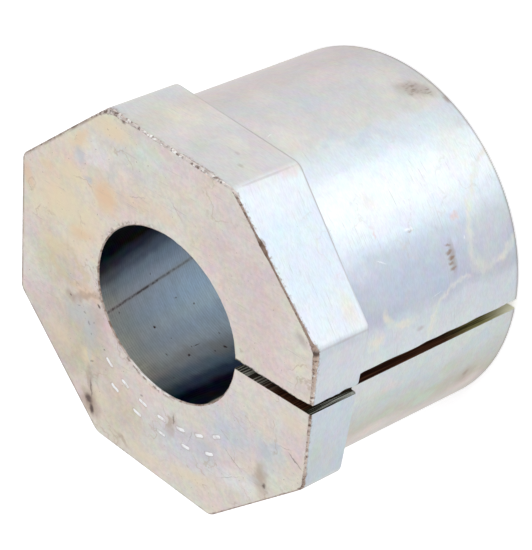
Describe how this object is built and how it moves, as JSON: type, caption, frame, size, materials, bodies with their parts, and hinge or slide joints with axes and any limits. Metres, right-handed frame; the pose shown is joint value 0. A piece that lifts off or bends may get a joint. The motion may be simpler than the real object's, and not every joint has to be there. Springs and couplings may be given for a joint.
{
  "type": "caster camber bushing",
  "caption": "Split steel bushing with an eight sided wedge head and a bore square to its sloping face, which sets the angle of a ball joint stud in an axle eye.",
  "frame": {"origin": "centre of the barrel's free end, on the barrel's axis", "axes": "+Z along the barrel's axis towards the head; +X out through the middle of the slit; the head's thick side is within 4 degrees of +Y"},
  "size_m": [0.041, 0.041, 0.0332],
  "materials": {
    "plated_steel": "zinc plated, with a pale iridescent passivate, stained and lightly worn"
  },
  "bodies": {
    "root": {"camber_bushing": "plated_steel"}
  },
  "joints": []
}
